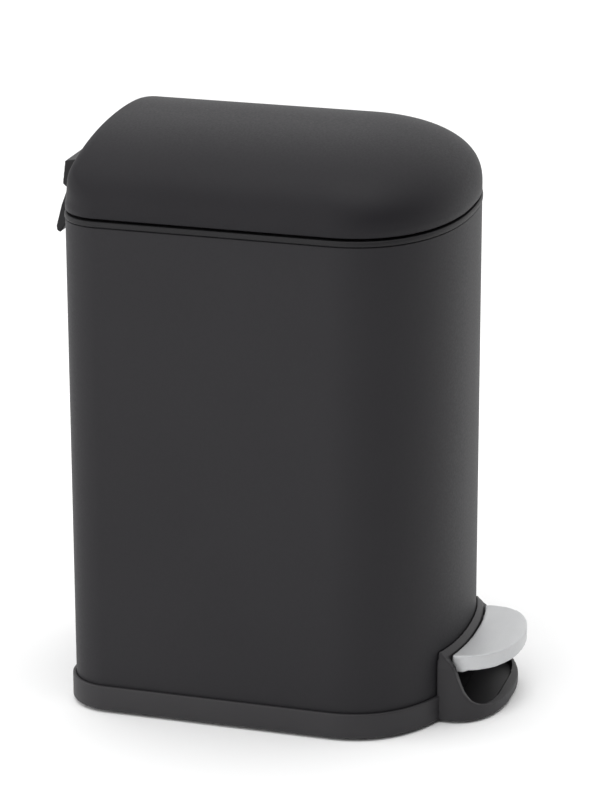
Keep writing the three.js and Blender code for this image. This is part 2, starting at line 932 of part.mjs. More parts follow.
function makeHingeBlock() {
  const at = (behind, z) => [bodyDepth + behind, z];
  const profile = [
    [lidBackAt(blockBottom) + gap, blockBottom],
    at(5.3, blockBottom),
    at(7.4, blockBottom + 1.7),
    at(5.9, blockTop - 2.1),
    [lidBackAt(blockTop) + gap, blockTop],
  ];
  let hingeBlock = sideProfile(profile, -blockHalfWidth, blockHalfWidth);
  for (const side of [-1, 1]) {
    const near = side * knuckleInner;
    const far = side * (knuckleInner + knuckleWidth);
    const web = sideProfile(
      [
        at(hingeBehind - 2.9, hingeHeight),
        at(hingeBehind + 2.9, hingeHeight),
        at(hingeBehind + 2.9, blockBottom + 1),
        at(hingeBehind - 2.9, blockBottom + 1),
      ],
      Math.min(near, far),
      Math.max(near, far),
    );
    hingeBlock = hingeBlock
      .add(web)
      .add(bar(knuckleRadius, [near, hingeY, hingeHeight], [far, hingeY, hingeHeight]));
  }
  hingeBlock = hingeBlock.subtract(
    bar(
      hingePinRadius + holeClearance,
      [-blockHalfWidth, hingeY, hingeHeight],
      [blockHalfWidth, hingeY, hingeHeight],
    ),
  );
  for (const [x, z] of lidScrewPlaces) {
    hingeBlock = hingeBlock.subtract(
      bar(lidScrewRadius + holeClearance, [x, bodyDepth - 8, z], [x, bodyDepth + 4.4, z]),
    );
  }
  place("lid_hinge_block", hingeBlock, greyPlastic);
  lidScrewPlaces.forEach(([x, z], i) => {
    const seat = lidBackAt(z + screwHeadRadius) - lidWall - gap;
    const screw = bar(screwHeadRadius, [x, seat - screwHeadHeight, z], [x, seat, z], 16).add(
      bar(lidScrewRadius, [x, seat - 0.5, z], [x, bodyDepth + 3.8, z], 16),
    );
    place(`lid_screw_${i + 1}`, screw, steel);
  });
}

// The lever hangs from the liner. Its slot runs along the arm, because the rod rises straight while the
// lever swings, so the rod's hook travels out and back along the slot.
function makeLidLever() {
  const rest = THREE.MathUtils.degToRad(leverRestDeg);
  const onArm = (distance) => [
    hingeY - distance * Math.cos(rest),
    hingeHeight - distance * Math.sin(rest),
  ];
  const nearSlot = onArm(leverArm);
  const farSlot = onArm(leverArm / Math.cos(rest));
  const half = leverThickness / 2;
  const capsule = (radius, reach) =>
    bar(radius, [-reach, ...nearSlot], [reach, ...nearSlot])
      .add(bar(radius, [-reach, ...farSlot], [reach, ...farSlot]))
      .add(
        sideProfile(
          [
            [nearSlot[0] + radius * Math.sin(rest), nearSlot[1] - radius * Math.cos(rest)],
            [nearSlot[0] - radius * Math.sin(rest), nearSlot[1] + radius * Math.cos(rest)],
            [farSlot[0] - radius * Math.sin(rest), farSlot[1] + radius * Math.cos(rest)],
            [farSlot[0] + radius * Math.sin(rest), farSlot[1] - radius * Math.cos(rest)],
          ],
          -reach,
          reach,
        ),
      );
  const neck = block(-half, half, rodY - 5, rodY + 5, nearSlot[1], leverPlateTop);
  const flange = block(
    -leverScrewX - 4,
    leverScrewX + 4,
    leverScrewY - 5,
    rodY + 5,
    leverPlateTop - leverFlangeThickness,
    leverPlateTop,
  );
  const window = block(
    rodOffset - rodRadius - 0.9,
    rodOffset + rodRadius + 0.9,
    rodY - rodRadius - 1.2,
    rodY + 9,
    0,
    leverPlateTop + 1,
  );
  let lever = capsule(slotRadius + leverRim, half).add(neck).add(flange);
  lever = lever.subtract(capsule(slotRadius, half + 1)).subtract(window);
  for (const side of [-1, 1]) {
    const x = side * leverScrewX;
    lever = lever.subtract(
      bar(leverScrewRadius + holeClearance, [x, leverScrewY, 0], [x, leverScrewY, shellTop * 2]),
    );
  }
  place("lid_lever", lever, blackSteel);
  [-1, 1].forEach((side, i) => {
    const headTop = leverPlateTop - leverFlangeThickness - gap;
    const screw = turned(
      [
        [0, headTop - 1.5],
        [2, headTop - 1.5],
        [2.5, headTop - 0.9],
        [2.5, headTop],
        [leverScrewRadius, headTop],
        [leverScrewRadius, linerBottom + linerThickness + 1],
        [0, linerBottom + linerThickness + 1],
      ],
      side * leverScrewX,
      leverScrewY,
      16,
    );
    place(`lever_screw_${i + 1}`, screw, steel);
  });
}

function makeBumpers() {
  const bumperRadius = 1.6;
  const ring = outline(bodyPlan, -(rimLedge + 1) / 2 - 0.6);
  [6, capSteps - 6].forEach((step, i) => {
    const [x, y] = ring[step];
    const bumper = turned(
      [
        [0, rimTop + gap],
        [bumperRadius - 0.4, rimTop + gap],
        [bumperRadius, rimTop + gap + 0.4],
        [bumperRadius, linerBottom - gap],
        [0, linerBottom - gap],
      ],
      x,
      y,
      16,
    );
    place(`lid_bumper_${i + 1}`, bumper, rubber);
  });
}

// ---------------------------------------------------------------- handle and hinge pin

function makeRearHandle() {
  const at = (behind, z) => [bodyDepth + behind, z];
  const profile = [
    at(gap + rimProud + 0.8, handleTop),
    at(gap + rimProud, handleTop - 0.8),
    at(gap + rimProud, shellTop + gap),
    at(gap, shellTop),
    at(gap, finRoot),
    at(handleReach - 5.5, finRoot),
    at(handleReach - 2.1, finRoot - finDrop),
    at(handleReach - 0.4, finRoot - finDrop + 0.8),
    at(handleReach, finRoot - finDrop + 3),
    at(handleReach - 3, shellTop),
    at(5.7, handleTop - 1.2),
    at(4.6, handleTop),
  ];
  let handle = sideProfile(profile, -blockHalfWidth, blockHalfWidth);
  const sweep = knuckleRadius + 2.7;
  for (const side of [-1, 1]) {
    const near = side * (knuckleInner - 0.5);
    const far = side * (knuckleInner + knuckleWidth + 0.5);
    const low = Math.min(near, far);
    const high = Math.max(near, far);
    handle = handle
      .subtract(bar(sweep, [low, hingeY, hingeHeight], [high, hingeY, hingeHeight]))
      .subtract(block(low, high, bodyDepth - 5, hingeY + sweep, hingeHeight, 280));
    const x = side * handleScrewX;
    handle = handle.subtract(
      bar(
        handleScrewRadius + holeClearance,
        [x, bodyDepth - 5, handleScrewZ],
        [x, bodyDepth + 6, handleScrewZ],
      ),
    );
  }
  const pinEnd = knuckleInner + knuckleWidth + 6;
  handle = handle.subtract(
    bar(
      hingePinRadius + holeClearance,
      [-pinEnd, hingeY, hingeHeight],
      [blockHalfWidth + 1, hingeY, hingeHeight],
    ),
  );
  place("rear_handle", handle, blackPlastic);
  place(
    "hinge_pin",
    bar(hingePinRadius, [gap - pinEnd, hingeY, hingeHeight], [blockHalfWidth - 1, hingeY, hingeHeight]),
    steel,
  );
  [-1, 1].forEach((side, i) => {
    const x = side * handleScrewX;
    const seat = bodyDepth - shellWall - gap;
    const head = [[x, seat - screwHeadHeight, handleScrewZ], [x, seat, handleScrewZ]];
    const screw = bar(screwHeadRadius, ...head, 16).add(
      bar(handleScrewRadius, [x, seat - 0.5, handleScrewZ], [x, bodyDepth + 5.4, handleScrewZ], 16),
    );
    place(`handle_screw_${i + 1}`, screw, steel);
  });
}

// ---------------------------------------------------------------- bucket

const bucketPlan = {
  ...bodyPlan,
  halfWidth: bodyWidth / 2 - bucketInset,
  front: bucketInset,
  back: bodyDepth - bucketFromBack,
  cornerRadius: 16,
};
const earOuter = bucketPlan.halfWidth - earInset;

function makeBucket() {
  const lip = bucketTop - 2;
  const corner = 3;
  let bucket = skin([
    { points: outline(bucketPlan, -bucketTaper - corner), z: bucketBottom },
    { points: outline(bucketPlan, -bucketTaper), z: bucketBottom + corner },
    { points: outline(bucketPlan, 0), z: lip },
    { points: outline(bucketPlan, bucketFlange), z: lip },
    { points: outline(bucketPlan, bucketFlange), z: bucketTop },
    { points: outline(bucketPlan, -bucketWall), z: bucketTop },
    { points: outline(bucketPlan, -bucketTaper - bucketWall), z: bucketBottom + corner + bucketWall / 2 },
    { points: outline(bucketPlan, -bucketTaper - corner - bucketWall / 2), z: bucketBottom + bucketWall },
  ]);
  for (const side of [-1, 1]) {
    const earFace = [
      [earOuter - earThickness, bucketTop - 6],
      [bucketPlan.halfWidth - bucketWall / 2, bucketTop - 6],
      [bucketPlan.halfWidth - bucketWall / 2, bucketTop],
      [earOuter, bucketTop],
      [earOuter, bailHeight + earAboveBail],
      [earOuter - earThickness, bailHeight + earAboveBail],
    ];
    const ear = frontProfile(earFace, bailFromFront - earHalfLength, bailFromFront + earHalfLength);
    bucket = bucket.add(side > 0 ? ear : ear.mirror([1, 0, 0]));
  }
  bucket = bucket.subtract(
    bar(
      bailRadius + holeClearance,
      [-bodyWidth / 2, bailFromFront, bailHeight],
      [bodyWidth / 2, bailFromFront, bailHeight],
    ),
  );
  place("inner_bucket", bucket, greyPlastic);
}

// A round wire or tube along a curve: a disc, or a ring if it has a bore.
function alongCurve(curve, radius, bore, steps, sides) {
  const shape = new THREE.Shape();
  for (let i = 0; i < sides; i++) {
    const angle = (2 * Math.PI * i) / sides;
    const point = [radius * Math.cos(angle), radius * Math.sin(angle)];
    if (i === 0) shape.moveTo(...point);
    else shape.lineTo(...point);
  }
  shape.closePath();
  if (bore > 0) {
    const hole = new THREE.Path();
    for (let i = 0; i < sides; i++) {
      const angle = (-2 * Math.PI * i) / sides;
      const point = [bore * Math.cos(angle), bore * Math.sin(angle)];
      if (i === 0) hole.moveTo(...point);
      else hole.lineTo(...point);
    }
    hole.closePath();
    shape.holes.push(hole);
  }
  return solidOf(new THREE.ExtrudeGeometry(shape, { steps, extrudePath: curve, bevelEnabled: false }));
}

function makeBail() {
  const halfWidth = earOuter - earThickness - bailRadius - 2.2;
  const arc = outline({
    halfWidth,
    front: bucketInset + bailInset,
    back: bodyDepth,
    capDepth: frontCapDepth - 15,
    capPower: frontCapPower,
    cornerRadius: 1,
  }).slice(0, capSteps + 1);
  const lift = ([x, y]) => new THREE.Vector3(x, y, bailHeight);
  const hook = [
    [earOuter + 1.4, bailFromFront],
    [halfWidth + 3, bailFromFront],
    [halfWidth + 0.6, bailFromFront - 1],
    [halfWidth, bailFromFront - 3.5],
  ];
  const left = hook.map(([x, y]) => [-x, y]);
  const right = hook.toReversed();
  const wire = new THREE.CatmullRomCurve3([...left, ...arc, ...right].map(lift), false, "centripetal");
  place("bucket_bail", alongCurve(wire, bailRadius, 0, 72, 8), steel);
  const middle = capSteps / 2;
  const span = 5;
  const gripLine = new THREE.CatmullRomCurve3(
    arc.slice(middle - span, middle + span + 1).map(lift),
    false,
    "centripetal",
  );
  place("bail_grip", alongCurve(gripLine, bailRadius + 2.4, bailRadius + 0.5, 12, 12), blackPlastic);
}

// ---------------------------------------------------------------- assembly

makeShell();
makeTopRim();
makeBase();
makeBottom();
makeInnerFloor();
makePedalPad();
makePedalLever();
makePedalAxle();
makePushRod();
makeRodGuides();
makeLidShell();
makeLidLiner();
makeHingeBlock();
makeLidLever();
makeBumpers();
makeRearHandle();
makeBucket();
makeBail();

bin.position.set(0, -(bodyDepth + handleReach - pedalReach) / 2, 0);

export default bin;
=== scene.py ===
"""Looks of the pedal bin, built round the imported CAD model.

Every visible moulding and sheet part is rebuilt as a finer mesh in the place of its CAD node, with rounded
edges, and every other CAD node is copied with its edges eased. Each piece rides on its node's body. Metres,
+Z up, the front faces -Y.
"""

import json
import math

import bpy
from mathutils import Matrix, Vector


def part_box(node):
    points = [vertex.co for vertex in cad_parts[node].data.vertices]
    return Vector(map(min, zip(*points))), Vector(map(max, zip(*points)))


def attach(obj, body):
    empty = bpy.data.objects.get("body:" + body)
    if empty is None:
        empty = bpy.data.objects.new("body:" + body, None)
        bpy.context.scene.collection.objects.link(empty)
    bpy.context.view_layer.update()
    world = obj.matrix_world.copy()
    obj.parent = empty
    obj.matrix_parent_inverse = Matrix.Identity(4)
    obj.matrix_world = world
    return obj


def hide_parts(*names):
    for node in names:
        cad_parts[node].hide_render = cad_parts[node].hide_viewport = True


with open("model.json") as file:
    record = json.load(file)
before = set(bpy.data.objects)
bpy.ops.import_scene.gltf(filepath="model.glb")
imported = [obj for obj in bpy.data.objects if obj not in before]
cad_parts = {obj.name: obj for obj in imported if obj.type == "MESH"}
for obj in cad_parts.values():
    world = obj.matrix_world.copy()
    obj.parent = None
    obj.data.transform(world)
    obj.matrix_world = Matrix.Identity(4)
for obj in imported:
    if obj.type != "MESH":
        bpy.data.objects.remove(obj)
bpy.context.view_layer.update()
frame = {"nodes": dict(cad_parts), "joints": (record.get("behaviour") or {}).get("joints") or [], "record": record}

MM = 0.001

# ------------------------------------------------------------------ places read from the frame


def low(node):
    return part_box(node)[0]


def high(node):
    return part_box(node)[1]


BODY_HALF = high("outer_shell").x
BODY_FRONT = low("outer_shell").y
BODY_BACK = high("outer_shell").y
SHELL_FOOT = low("outer_shell").z
SHELL_TOP = high("outer_shell").z
RIM_TOP = high("top_rim").z
RIM_PROUD = high("top_rim").x - BODY_HALF
BASE_PROUD = high("base").x - BODY_HALF
BASE_BOTTOM = low("base").z
HOUSING_FRONT = low("base").y
PEDAL_FRONT = low("pedal_pad").y
PEDAL_HALF = high("pedal_pad").x
LID_BOTTOM = low("lid_shell").z
LID_TOP = high("lid_shell").z
BLOCK_HALF = high("lid_hinge_block").x
BLOCK_TOP = high("lid_hinge_block").z
HINGE = next(joint for joint in frame["joints"] if joint["name"] == "lid_hinge")
HINGE_Y, HINGE_Z = HINGE["pos_m"][1:]
BLOCK_BOTTOM = HINGE_Z + 4.5 * MM
AXLE = (low("pedal_axle") + high("pedal_axle")) / 2

# ------------------------------------------------------------------ shape constants, in metres

GAP = 0.3 * MM
SHELL_WALL = 0.8 * MM
CAP_DEPTH = 55 * MM
CAP_POWER = 2.28
CORNER_RADIUS = 21.5 * MM
RING_TOP = 14.7 * MM
FLANGE_TOP = 6.6 * MM
LINTEL_BOTTOM = 30 * MM
LINTEL_TOP = 38 * MM
LINTEL_PROUD = 3.8 * MM
HOUSING_HALF = 41.3 * MM
HOUSING_RIM = 5.1 * MM
HOUSING_FLOOR = 4.2 * MM
HOUSING_SPAN = 60 * MM  # taller than the housing and the pedal
SHOULDER = 30 * MM
COLLAR_TAPER = 1.6 * MM
COVER_EDGE = -0.4 * MM
FLANGE_BOTTOM = 4.3 * MM
FLANGE_REACH = 14 * MM
POST_RADIUS = 5 * MM
BEAM_HALF_DEPTH = 4.2 * MM
BEAM_HEIGHT = 3.7 * MM
HINGE_BORE = 1.8 * MM
BAIL_BORE = 1.8 * MM
BAIL_Y = BODY_FRONT + 82 * MM
BAIL_Z = 251.5 * MM
EAR_OUTER = BODY_HALF - 12.5 * MM
CAP_STEPS = 120
CORNER_STEPS = 24

# ------------------------------------------------------------------ materials


class Nodes:
    """A material's node tree, with short calls to add and link nodes."""

    def __init__(self, name):
        self.material = bpy.data.materials.new(name)
        self.material.use_nodes = True
        self.tree = self.material.node_tree
        self.shader = self.tree.nodes["Principled BSDF"]

    def add(self, kind, **settings):
        node = self.tree.nodes.new(kind)
        for key, value in settings.items():
            if hasattr(node, key):
                setattr(node, key, value)
            else:
                node.inputs[key.replace("_", " ").title()].default_value = value
        return node

    def link(self, out, to):
        self.tree.links.new(out, to)

    def position(self):
        return self.add("ShaderNodeTexCoord").outputs["Object"]

    def noise(self, scale, detail=2.0, roughness=0.5, stretch=(1, 1, 1)):
        mapping = self.add("ShaderNodeMapping")
        mapping.inputs["Scale"].default_value = stretch
        self.link(self.position(), mapping.inputs["Vector"])
        noise = self.add("ShaderNodeTexNoise")
        noise.inputs["Scale"].default_value = scale
        noise.inputs["Detail"].default_value = detail
        noise.inputs["Roughness"].default_value = roughness
        self.link(mapping.outputs["Vector"], noise.inputs["Vector"])
        return noise.outputs["Fac"]

    def ranged(self, value, low_out, high_out, low_in=0.3, high_in=0.7):
        node = self.add("ShaderNodeMapRange")
        self.link(value, node.inputs["Value"])
        node.inputs["From Min"].default_value = low_in
        node.inputs["From Max"].default_value = high_in
        node.inputs["To Min"].default_value = low_out
        node.inputs["To Max"].default_value = high_out
        return node.outputs["Result"]

    def mixed(self, factor, first, second):
        node = self.add("ShaderNodeMix", data_type="RGBA")
        self.link(factor, node.inputs[0])
        for socket, colour in ((node.inputs[6], first), (node.inputs[7], second)):
            if isinstance(colour, bpy.types.NodeSocket):
                self.link(colour, socket)
            else:
                socket.default_value = (*colour, 1)
        return node.outputs[2]

    def bumps(self, layers):
        """Bump from (value, depth in metres) layers, one after another."""
        normal = None
        for value, depth in layers:
            bump = self.add("ShaderNodeBump")
            bump.inputs["Strength"].default_value = 1.0
            bump.inputs["Distance"].default_value = depth
            self.link(value, bump.inputs["Height"])
            if normal is not None:
                self.link(normal, bump.inputs["Normal"])
            normal = bump.outputs["Normal"]
        self.link(normal, self.shader.inputs["Normal"])

    def worn_edges(self, radius):
        """1 on convex edges within the radius, 0 elsewhere."""
        bevel = self.add("ShaderNodeBevel", samples=4)
        bevel.inputs["Radius"].default_value = radius
        geometry = self.add("ShaderNodeNewGeometry")
        dot = self.add("ShaderNodeVectorMath", operation="DOT_PRODUCT")
        self.link(bevel.outputs["Normal"], dot.inputs[0])
        self.link(geometry.outputs["Normal"], dot.inputs[1])
        return self.ranged(dot.outputs["Value"], 1, 0, 0.9, 0.998)


def powder_coat(name, base, light, roughness, gloss):
    """Fine matte powder coat: orange peel about 0.7 mm across, a fine grain, and slow tone drift."""
    n = Nodes(name)
    drift = n.noise(9, 2)
    grain = n.noise(2600, 1)
    peel = n.noise(900, 2)
    n.link(n.mixed(n.ranged(drift, 0, 1), base, light), n.shader.inputs["Base Color"])
    n.link(n.ranged(peel, roughness - 0.04, roughness + 0.05), n.shader.inputs["Roughness"])
    n.bumps([(peel, 0.006 * MM), (grain, 0.004 * MM)])
    n.shader.inputs["Specular IOR Level"].default_value = gloss
    return n.material


def moulded(name, base, light, roughness, spark=0.008, gloss=0.4):
    """Moulded plastic: spark-eroded grain about 0.4 mm across, with a slow change of tone."""
    n = Nodes(name)
    spark_grain = n.noise(2400, 3, 0.6)
    flow = n.noise(22, 2, 0.5, (1, 1, 0.35))
    n.link(n.mixed(n.ranged(flow, 0, 1), base, light), n.shader.inputs["Base Color"])
    n.link(n.ranged(spark_grain, roughness - 0.05, roughness + 0.06), n.shader.inputs["Roughness"])
    n.bumps([(spark_grain, spark * MM)])
    n.shader.inputs["Specular IOR Level"].default_value = gloss
    return n.material


def satin_silver(name):
    """Silver satin pedal finish: a very fine metallic fleck and faint scuffs along the tread."""
    n = Nodes(name)
    fleck = n.noise(3800, 1)
    cloud = n.noise(30, 3)
    scuff = n.noise(240, 4, 0.6, (0.12, 1, 1))
    tone = n.mixed(n.ranged(cloud, 0, 1), (0.50, 0.505, 0.515), (0.57, 0.575, 0.58))
    n.link(n.mixed(n.ranged(fleck, 0, 0.35), tone, (0.66, 0.67, 0.68)), n.shader.inputs["Base Color"])
    n.link(n.ranged(scuff, 0.40, 0.52), n.shader.inputs["Roughness"])
    n.bumps([(fleck, 0.003 * MM), (scuff, 0.004 * MM)])
    n.shader.inputs["Metallic"].default_value = 0.35
    return n.material


def plated_steel(name, tone=(0.55, 0.56, 0.57), roughness=0.3):
    """Drawn and zinc-plated steel: fine streaks, slightly cloudy."""
    n = Nodes(name)
    streak = n.noise(700, 3, 0.6, (1, 1, 0.06))
    cloud = n.noise(60, 2)
    darker = tuple(0.72 * c for c in tone)
    n.link(n.mixed(n.ranged(cloud, 0, 1), darker, tone), n.shader.inputs["Base Color"])
    n.link(n.ranged(streak, roughness - 0.08, roughness + 0.14), n.shader.inputs["Roughness"])
    n.bumps([(streak, 0.004 * MM)])
    n.shader.inputs["Metallic"].default_value = 1.0
    return n.material


def black_oxide(name):
    """Pressed steel with a thin black coat, rubbed a little on its edges."""
    n = Nodes(name)
    grain = n.noise(1500, 2)
    cloud = n.noise(40, 2)
    tone = n.mixed(n.ranged(cloud, 0, 1), (0.014, 0.014, 0.015), (0.024, 0.024, 0.026))
    n.link(n.mixed(n.worn_edges(0.35 * MM), tone, (0.09, 0.09, 0.095)), n.shader.inputs["Base Color"])
    n.link(n.ranged(grain, 0.38, 0.5), n.shader.inputs["Roughness"])
    n.bumps([(grain, 0.005 * MM)])
    n.shader.inputs["Metallic"].default_value = 0.4
    return n.material


def rubbery(name):
    """Black rubber with a chalky bloom."""
    n = Nodes(name)
    bloom = n.noise(120, 3)
    grain = n.noise(1800, 2)
    n.link(
        n.mixed(n.ranged(bloom, 0, 1), (0.010, 0.010, 0.010), (0.022, 0.022, 0.021)),
        n.shader.inputs["Base Color"],
    )
    n.link(n.ranged(grain, 0.8, 0.92), n.shader.inputs["Roughness"])
    n.bumps([(grain, 0.01 * MM)])
    return n.material


CHARCOAL_DARK = (0.0138, 0.0130, 0.0152)
CHARCOAL_LIGHT = (0.0160, 0.0152, 0.0175)
RIM_DARK = (0.010, 0.0095, 0.0108)
RIM_LIGHT = (0.012, 0.0115, 0.0128)

MATERIALS = {
    "shell_paint": powder_coat("shell powder coat", CHARCOAL_DARK, CHARCOAL_LIGHT, 0.55, gloss=0.26),
    "lid_paint": powder_coat("lid powder coat", CHARCOAL_DARK, CHARCOAL_LIGHT, 0.55, gloss=0.17),
    "grey_plastic": moulded("rim plastic", RIM_DARK, RIM_LIGHT, 0.50, gloss=0.24),
    "black_plastic": moulded("base plastic", (0.0195, 0.0182, 0.0205), (0.0235, 0.0222, 0.0245), 0.52),
    "bucket_plastic": moulded("bucket plastic", (0.030, 0.030, 0.031), (0.036, 0.036, 0.037), 0.45),
    "silver_plastic": satin_silver("pedal silver"),
    "black_steel": black_oxide("black coated steel"),
    "steel": plated_steel("zinc plated steel"),
    "rubber": rubbery("foot rubber"),
}

# ------------------------------------------------------------------ mesh building


def outline(plan, grow=0.0, cap_steps=CAP_STEPS, corner_steps=CORNER_STEPS):
    """Plan points with a superelliptic front, straight sides and round back corners, moved out by grow."""
    half, front, back = plan["half"], plan["front"], plan["back"]
    depth, power, radius = plan["cap"], plan["power"], plan["radius"]
    points = []
    for i in range(cap_steps + 1):
        angle = -math.pi / 2 + math.pi * i / cap_steps
        side = math.copysign(1, math.sin(angle))
        across = abs(math.sin(angle)) ** (2 / power)
        along = max(0.0, math.cos(angle)) ** (2 / power)
        normal = Vector((side * across ** (power - 1) / half, -(along ** (power - 1)) / depth)).normalized()
        x = side * across * half + grow * normal.x
        points.append((x, front + depth - along * depth + grow * normal.y))
    reach = max(radius + grow, 0.5 * MM)
    for side in (1, -1):
        for i in range(corner_steps + 1):
            turn = (i if side > 0 else corner_steps - i) / corner_steps * math.pi / 2
            points.append(
                (
                    side * (half + grow - reach + reach * math.cos(turn)),
                    back + grow - reach + reach * math.sin(turn),
                )
            )
    return points


def rounded(points, radius, steps=4, closed=True):
    """A 2-D polygon with its corners turned into arcs. radius is one number, or one for each corner."""
    radii = radius if isinstance(radius, (list, tuple)) else [radius] * len(points)
    result = []
    count = len(points)
    for i, point in enumerate(points):
        here = Vector(point)
        if radii[i] <= 0 or (not closed and i in (0, count - 1)):
            result.append(tuple(here))
            continue
        before = Vector(points[i - 1]) - here
        after = Vector(points[(i + 1) % count]) - here
        half_angle = before.angle(after) / 2
        room = 0.49 * min(before.length, after.length)
        cut = min(radii[i] / math.tan(half_angle), room)
        start = here + before.normalized() * cut
        end = here + after.normalized() * cut
        for k in range(steps + 1):
            t = k / steps
            a = start.lerp(here, t)
            b = here.lerp(end, t)
            result.append(tuple(a.lerp(b, t)))
    return result


def make_object(name, vertices, faces):
    mesh = bpy.data.meshes.new(name)
    mesh.from_pydata([tuple(v) for v in vertices], [], faces)
    mesh.update()
    piece = bpy.data.objects.new(name, mesh)
    bpy.context.scene.collection.objects.link(piece)
    return piece


def smooth(piece, degrees=38):
    piece.data.shade_smooth()
    piece.data.set_sharp_from_angle(angle=math.radians(degrees))


def skin(name, rings, looped=False, ladder=False):
    """A closed mesh through rings of equally many points: [(points, z) or a list of 3-D points, ...].

    The end caps are single faces, or with ladder a row of quads from one side of the outline to the other.
    """
    solid_rings = []
    for ring in rings:
        if isinstance(ring, tuple):
            solid_rings.append([(x, y, ring[1]) for x, y in ring[0]])
        else:
            solid_rings.append(ring)
    count = len(solid_rings[0])
    vertices = [v for ring in solid_rings for v in ring]
    faces = []
    spans = len(solid_rings) if looped else len(solid_rings) - 1
    for i in range(spans):
        a = i * count
        b = (i + 1) % len(solid_rings) * count
        for j in range(count):
            k = (j + 1) % count
            faces.append((a + j, a + k, b + k, b + j))
    last = (len(solid_rings) - 1) * count
    if ladder:
        middle = CAP_STEPS // 2
        for i in range(count // 2):
            rung = [middle + i, middle + i + 1, middle - i - 1, middle - i]
            corners = list(dict.fromkeys(step % count for step in rung))
            if len(corners) > 2:
                faces.append(tuple(reversed(corners)))
                faces.append(tuple(last + c for c in corners))
    elif not looped:
        faces.append(tuple(reversed(range(count))))
        faces.append(tuple(range(last, last + count)))
    return make_object(name, vertices, faces)


def swept(name, plan, section, cap_steps=CAP_STEPS):
    """A ring swept round a plan from a closed section of (grow, z) points."""
    return skin(name, [(outline(plan, grow, cap_steps), z) for grow, z in section], looped=True)


def drawn_out(name, profile, x0, x1, steps=1):
    """A side view outline of (y, z) points drawn out along X."""
    rings = []
    for i in range(steps + 1):
        x = x0 + (x1 - x0) * i / steps
        rings.append([(x, y, z) for y, z in profile])
    return skin(name, rings)


def drawn_back(name, profile, y0, y1):
    """A front view outline of (x, z) points drawn out along Y."""
    return skin(name, [[(x, y, z) for x, z in profile] for y in (y1, y0)])


def cylinder(name, radius, start, end, sides=48):
    start, end = Vector(start), Vector(end)
    axis = (end - start).normalized()
    side = axis.orthogonal().normalized()
    other = axis.cross(side)
    rings = []
    for centre in (start, end):
        ring = []
        for i in range(sides):
            angle = 2 * math.pi * i / sides
            ring.append(tuple(centre + radius * (math.cos(angle) * side + math.sin(angle) * other)))
        rings.append(ring)
    return skin(name, rings)


def box(name, x0, x1, y0, y1, z0, z1):
    return skin(name, [[(x0, y0, z), (x1, y0, z), (x1, y1, z), (x0, y1, z)] for z in (z0, z1)])


def combine(piece, tool, operation):
    """Joins or cuts piece with tool, and removes tool."""
    modifier = piece.modifiers.new("combine", "BOOLEAN")
    modifier.operation = operation
    modifier.solver = "EXACT"
    modifier.object = tool
    apply(piece)
    bpy.data.objects.remove(tool)
    return piece


def apply(piece):
    depsgraph = bpy.context.evaluated_depsgraph_get()
    mesh = bpy.data.meshes.new_from_object(piece.evaluated_get(depsgraph))
    old = piece.data
    piece.modifiers.clear()
    piece.data = mesh
    bpy.data.meshes.remove(old)


def soften(piece, voxel, passes=6, factor=0.5):
    """Rounds every edge of a moulded piece: an even remesh, then a few rounds of smoothing."""
    remesh = piece.modifiers.new("remesh", "REMESH")
    remesh.mode = "VOXEL"
    remesh.voxel_size = voxel
    apply(piece)
    relax = piece.modifiers.new("relax", "SMOOTH")
    relax.factor = factor
    relax.iterations = passes
    apply(piece)


def finish_piece(piece, body, slot, nodes=(), degrees=38):
    smooth(piece, degrees)
    piece.data.materials.clear()
    piece.data.materials.append(MATERIALS[slot])
    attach(piece, body)
    if nodes:
        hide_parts(*nodes)
    return piece


BODY_PLAN = {
    "half": BODY_HALF,
    "front": BODY_FRONT,
    "back": BODY_BACK,
    "cap": CAP_DEPTH,
    "power": CAP_POWER,
    "radius": CORNER_RADIUS,
}

# ------------------------------------------------------------------ body: shell, rim, base


def make_shell():
    hem = 0.35 * MM
    shell = swept(
        "shell_sheet",
        BODY_PLAN,
        [
            (0, SHELL_FOOT),
            (0, SHELL_TOP - hem),
            (-hem, SHELL_TOP),
            (-SHELL_WALL, SHELL_TOP),
            (-SHELL_WALL, SHELL_FOOT),
        ],
    )
    notch = drawn_back("notch", collar_face(-HOUSING_RIM / 2), BODY_FRONT - 5 * MM, BODY_FRONT + 27 * MM)
    low_part = box("low_part", -0.1, 0.1, -0.2, 0.2, 0, LINTEL_BOTTOM + 4 * MM)
    combine(notch, low_part, "INTERSECT")
    combine(shell, notch, "DIFFERENCE")
    finish_piece(shell, "body", "shell_paint", ["outer_shell"])


def make_rim():
    ledge = SHELL_TOP + GAP
    lip_out = -SHELL_WALL - GAP
    section = [
        (-0.1 * MM, ledge),
        (RIM_PROUD, ledge + 0.5 * MM),
        (RIM_PROUD, RIM_TOP - 0.5 * MM),
        (RIM_PROUD - 0.6 * MM, RIM_TOP),
        (-5.2 * MM, RIM_TOP),
        (-5.2 * MM, ledge),
        (lip_out - 2.1 * MM, ledge),
        (lip_out - 2.1 * MM, SHELL_TOP - 8 * MM),
        (lip_out, SHELL_TOP - 8 * MM),
        (lip_out, ledge),
    ]
    radii = [0.1, 0.5, 0.6, 0.4, 0.6, 0.3, 0, 0.6, 0.6, 0]
    rim = swept("rim_ring", BODY_PLAN, rounded(section, [r * MM for r in radii], 3))
    relief = box("relief", -44 * MM, 44 * MM, BODY_BACK - 20 * MM, BODY_BACK + 5 * MM, 0, ledge - 0.1 * MM)
    combine(rim, relief, "DIFFERENCE")
    finish_piece(rim, "body", "grey_plastic", ["top_rim"])


def collar_face(grow):
    """Front view of the collar: upright sides that lean in above the shoulder."""
    wide = HOUSING_HALF + grow
    narrow = wide - COLLAR_TAPER
    top = LINTEL_TOP + 0.6 * MM
    return [
        (-wide, 0),
        (wide, 0),
        (wide, SHOULDER),
        (narrow, top),
        (-narrow, top),
        (-wide, SHOULDER),
    ]


